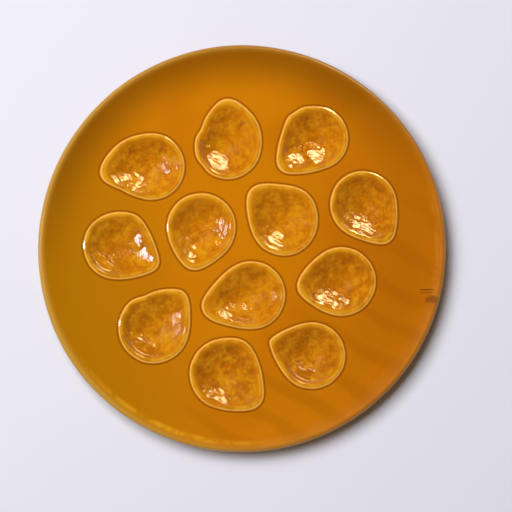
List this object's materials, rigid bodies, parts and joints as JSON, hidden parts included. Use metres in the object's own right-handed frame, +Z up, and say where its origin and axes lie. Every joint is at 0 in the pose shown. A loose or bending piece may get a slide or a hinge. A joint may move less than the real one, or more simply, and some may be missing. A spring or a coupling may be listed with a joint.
{
  "type": "oyster plate",
  "caption": "Round honey-glazed earthenware plate with shell-shaped oyster wells in its face, a raised bead round each well, a curved rim and a foot ring.",
  "frame": {"origin": "centre of the foot ring's tread, on the surface that the plate stands on", "axes": "+Z up out of the face; +Y towards the top edge of the picture and +X towards its right edge"},
  "size_m": [0.3702, 0.3702, 0.0233],
  "materials": {
    "clay": "bare fired earthenware, matt and slightly grainy",
    "face_glaze": "glossy honey glaze, darker where it pools and paler on edges",
    "back_glaze": "glossy honey glaze, thinner and a little uneven"
  },
  "bodies": {
    "root": {"clay_body": "clay", "face_glaze": "face_glaze", "back_rim_glaze": "back_glaze", "back_centre_glaze": "back_glaze"}
  },
  "joints": []
}
